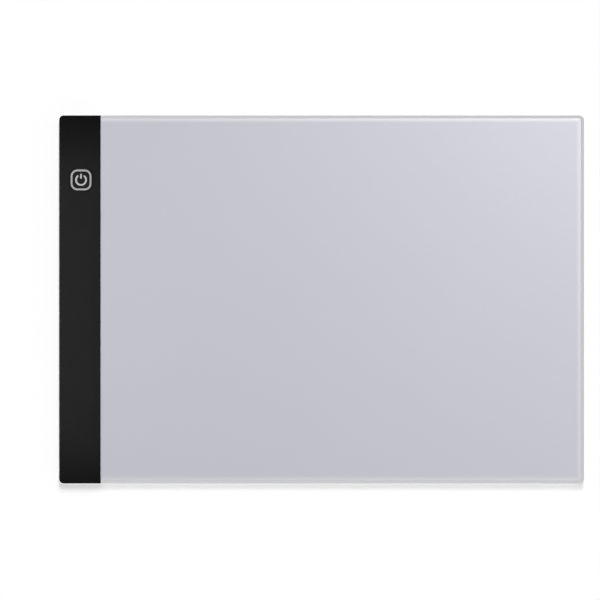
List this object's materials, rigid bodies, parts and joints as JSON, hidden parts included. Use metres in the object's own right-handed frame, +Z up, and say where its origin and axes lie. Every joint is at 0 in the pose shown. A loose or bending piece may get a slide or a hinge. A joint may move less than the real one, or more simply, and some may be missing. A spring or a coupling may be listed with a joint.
{
  "type": "tracing light pad",
  "caption": "Thin rectangular tracing light pad with a milky bevelled drawing panel, a black control strip and a sprung power key.",
  "frame": {"origin": "on the table under the middle of the pad, at the bottom of the feet", "axes": "+X along the pad's length away from the control strip, +Y away from the user, toward the end of the strip that has the key, +Z up out of the drawing surface"},
  "size_m": [0.335, 0.235, 0.0057],
  "materials": {
    "grey_housing": "fine satin grain",
    "black_housing": "satin, fine grain",
    "milky_panel": "satin, milky",
    "black_key": "satin",
    "foot_rubber": "matte",
    "adhesive_tape": "matte",
    "white_film": "matte",
    "clear_guide": "polished",
    "white_board": "satin",
    "lamp_housing": "matte",
    "lamp_phosphor": "satin",
    "black_package": "matte",
    "green_board": "satin",
    "bright_steel": "bright",
    "black_insulator": "satin",
    "gold_contact": "bright",
    "tinned_lead": "satin",
    "capacitor_ceramic": "matte",
    "red_wire": "satin",
    "black_wire": "satin"
  },
  "bodies": {
    "pad": {"back_cover": "grey_housing", "control_cover": "black_housing", "top_panel": "milky_panel", "foot_front_left": "foot_rubber", "foot_front_right": "foot_rubber", "foot_rear_left": "foot_rubber", "foot_rear_right": "foot_rubber", "panel_tape": "adhesive_tape", "diffuser_film": "white_film", "light_guide": "clear_guide", "reflector_film": "white_film", "edge_reflectors": "white_film", "light_shield": "white_film", "led_board": "white_board", "led_board_tape": "adhesive_tape", "led_housings": "lamp_housing", "led_phosphors": "lamp_phosphor", "led_resistors": "black_package", "control_board": "green_board", "control_board_tape": "adhesive_tape", "usb_shell": "bright_steel", "usb_tongue": "black_insulator", "usb_contacts": "gold_contact", "switch_base": "black_insulator", "switch_terminals": "tinned_lead", "switch_dome": "bright_steel", "switch_frame": "bright_steel", "controller_chip": "black_package", "controller_leads": "tinned_lead", "dimmer_transistor": "black_package", "board_capacitors": "capacitor_ceramic", "board_resistors": "black_package", "wire_positive": "red_wire", "wire_negative": "black_wire"},
    "button": {"power_button": "black_key"},
    "plunger": {"switch_plunger": "black_insulator"}
  },
  "joints": [
    {"name": "button_press", "type": "slide", "parent": "pad", "child": "button", "axis": [0, 0, -1], "range_m": [0, 0.0003], "stiffness_N_per_m": 5000},
    {"name": "plunger_press", "type": "slide", "parent": "pad", "child": "plunger", "axis": [0, 0, -1], "range_m": [0, 0.0003], "deforming": ["switch_dome"]}
  ],
  "couplings": [
    {"joint": "plunger_press", "follows": "button_press", "ratio": 1}
  ]
}
